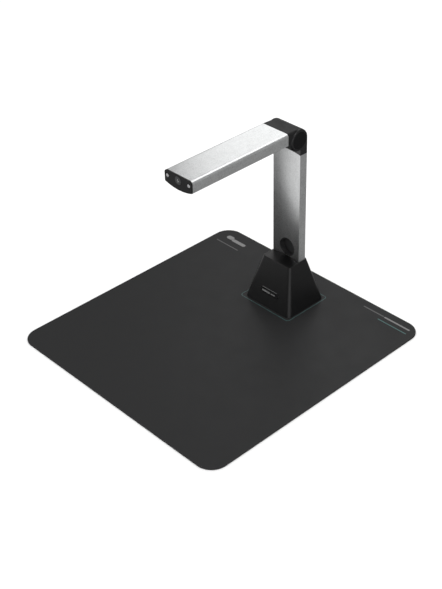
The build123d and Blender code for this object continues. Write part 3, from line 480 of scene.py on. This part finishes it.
def print_bars(side_edge, inward, back_edge, surface_height, bars):
    """Plain bars with round ends, along X, set in from a side edge of the mat and from its back edge."""
    for name, from_side, from_back, length, height, ink in bars:
        centre = (side_edge + inward * from_side * MM, back_edge - from_back * MM)
        outline = rounded_outline(length * MM, height * MM, height * MM * ROUND_END, centre)
        piece = slab(name, outline, surface_height, surface_height + INK_HEIGHT)
        add_piece(piece, "mat", ink)


def print_mat():
    """The stand's outline, and the bars in the two back corners."""
    low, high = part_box("mat_top")
    print_stand_outline(high.z)
    print_bars(low.x, 1, high.y, high.z, LEFT_BARS)
    print_bars(high.x, -1, high.y, high.z, RIGHT_BARS)


# ---- Printing on the label and the button ------------------------------------------------------

# The base's front face leans back 19.1 mm over the 66 mm of its height
FRONT_LEAN = math.atan2(19.1, 66.0)

LABEL_BAR_DROP = 0.5 * MM
LABEL_BAR_CORNER = 0.5 * MM
BUTTON_DOT = 1.2 * MM
BUTTON_DOT_CORNER = 0.59 * MM
BUTTON_DOT_RISE = 1.0 * MM
FLATNESS = 0.01 * MM


def outer_face(node, normal):
    """The middle of a piece's outermost flat face on the side that normal points to."""
    piece = NODES[node]
    points = [piece.matrix_world @ vertex.co for vertex in piece.data.vertices]
    reach = max(normal.dot(point) for point in points)
    face = [point for point in points if reach - normal.dot(point) < FLATNESS]
    return Vector([(min(p[i] for p in face) + max(p[i] for p in face)) / 2 for i in range(3)])


def printed_on(name, outline, place, normal, body, finish):
    """A thin print, its outline laid on the surface at place that faces normal; X stays X."""
    right = Vector((1, 0, 0))
    up = normal.cross(right)
    piece = slab(name, outline, 0.0, INK_HEIGHT)
    turn = Matrix((right, up, normal)).transposed().to_4x4()
    piece.data.transform(Matrix.Translation(place) @ turn)
    add_piece(piece, body, finish)


def print_label():
    """Two plain bars in place of the label's printing."""
    normal = Vector((0, -math.cos(FRONT_LEAN), math.sin(FRONT_LEAN)))
    face = outer_face("label_plate", normal)
    for name, middle, length, height in (
        ("label_bar_long", -5.6 * MM, 14.5 * MM, 2.3 * MM),
        ("label_bar_short", 7.3 * MM, 7.6 * MM, 1.7 * MM),
    ):
        outline = rounded_outline(length, height, LABEL_BAR_CORNER, (middle, -LABEL_BAR_DROP))
        printed_on(name, outline, face, normal, "stand", INK_LABEL)


def print_button():
    """Two dots in the middle of the light's button, on a slant."""
    normal = Vector((0, -1, 0))
    face = outer_face("light_button", normal)
    for name, rise in (("button_dot_high", BUTTON_DOT_RISE), ("button_dot_low", -BUTTON_DOT_RISE)):
        outline = rounded_outline(BUTTON_DOT, BUTTON_DOT, BUTTON_DOT_CORNER, (-rise * 0.5, rise))
        printed_on(name, outline, face, normal, "button", INK_BUTTON)


# ---- Studio ------------------------------------------------------------------------------------

# The room's walls are pale, but what shows in polished surfaces is dimmer
ROOM_LIGHT = 1.15
ROOM_REFLECTION = 0.37

FLOOR_SIZE = 14.0
FLOOR_CORNER = 0.5
FLOOR_LOW = -20.0 * MM
FLOOR_TOP = -0.2 * MM
FLAG_LOW = 0.5 * MM
FLAG_THICKNESS = 0.5 * MM
FLAG_CORNER = 20.0 * MM


def make_floor():
    """A sheet of pale paper, a hair under the mat."""
    outline = rounded_outline(FLOOR_SIZE, FLOOR_SIZE, FLOOR_CORNER)
    floor = slab("floor", outline, FLOOR_LOW, FLOOR_TOP)
    bpy.context.scene.collection.objects.link(floor)
    paper = Surface("studio_paper", (0.93, 0.93, 0.93), Specular_IOR_Level=0.0)
    fibre = paper.noise(2 * MM, detail=3.0)
    paper.shade(fibre, 0.99, 1.01)
    paper.rough(fibre, 0.9, 1.0)
    floor.data.materials.append(paper.material)


def softbox(name, place, target, width, height, brightness, highlights_only=False):
    """A soft lamp of the given brightness, facing target. It can be one that only makes highlights."""
    light = bpy.data.lights.new(name, "AREA")
    light.shape = "RECTANGLE"
    light.size = width
    light.size_y = height
    light.energy = brightness * math.pi * width * height
    lamp = bpy.data.objects.new(name, light)
    aim = (Vector(target) - Vector(place)).to_track_quat("-Z", "Y")
    lamp.matrix_world = Matrix.Translation(place) @ aim.to_matrix().to_4x4()
    lamp.visible_camera = False
    lamp.visible_diffuse = not highlights_only
    bpy.context.scene.collection.objects.link(lamp)


def flag(name, across, deep, lightness):
    """A grey card just over the floor, seen only in reflections: it dims the faces turned towards it."""
    outline = rounded_outline(
        across[1] - across[0], deep[1] - deep[0], FLAG_CORNER,
        ((across[0] + across[1]) / 2, (deep[0] + deep[1]) / 2),
    )
    card = slab(name, outline, FLAG_LOW, FLAG_LOW + FLAG_THICKNESS)
    bpy.context.scene.collection.objects.link(card)
    felt = Surface(name, (lightness, lightness, lightness), Specular_IOR_Level=0.0)
    felt.shade(felt.noise(8 * MM), 0.95, 1.05)
    card.data.materials.append(felt.material)
    card.visible_camera = False
    card.visible_diffuse = False
    card.visible_shadow = False
    card.visible_transmission = False


def make_room():
    """A white surround, dimmer in reflections."""
    world = bpy.data.worlds.new("studio")
    world.use_nodes = True
    tree = world.node_tree
    sky = tree.nodes["Background"]
    sky.inputs["Color"].default_value = (1.0, 1.0, 1.0, 1.0)
    ray = tree.nodes.new("ShaderNodeLightPath")
    strength = tree.nodes.new("ShaderNodeMapRange")
    strength.inputs["To Min"].default_value = ROOM_LIGHT
    strength.inputs["To Max"].default_value = ROOM_REFLECTION
    tree.links.new(ray.outputs["Is Glossy Ray"], strength.inputs["Value"])
    tree.links.new(strength.outputs["Result"], sky.inputs["Strength"])
    bpy.context.scene.world = world
    bpy.context.scene.view_settings.view_transform = "Standard"


def make_lights():
    """Soft lamps round the part, and the cards that keep some of its faces dark."""
    # Lights the arm's top, more towards the hinge
    softbox("back_light", (-0.48, 0.69, 0.68), (0.0, 0.06, 0.27), 0.5, 0.44, 1.5)
    # A long strip that draws the bright band along the arm's right edge
    softbox("edge_light", (0.22, 0.64, 1.16), (0.024, 0.02, 0.27), 1.4, 0.36, 2.4, True)
    # Catches the rounded rim of the hinge
    softbox("rim_light", (0.93, -0.03, 1.02), (0.024, 0.124, 0.255), 0.34, 0.5, 11.0, True)
    # Runs down the base's rounded front corner
    softbox("corner_light", (1.15, -0.27, 0.14), (0.035, 0.095, 0.03), 1.7, 0.24, 2.9, True)
    # Lightens the base's front face
    softbox("low_light", (-0.62, -0.72, 0.14), (0.0, 0.095, 0.035), 0.7, 0.24, 1.4, True)
    # Catches the upper edges of the label and of the base
    softbox("front_light", (-0.66, -0.13, 0.90), (0.0, 0.09, 0.03), 0.36, 0.2, 5.5, True)
    # Dim what the right-hand and the front faces reflect
    flag("right_flag", (0.0, 2.2), (0.06, 2.4), 0.3)
    flag("front_flag", (-0.5, 0.15), (-1.2, -0.2), 0.27)


make_camera()
make_floor()
make_room()
make_lights()
paint_nodes()
print_mat()
print_label()
print_button()
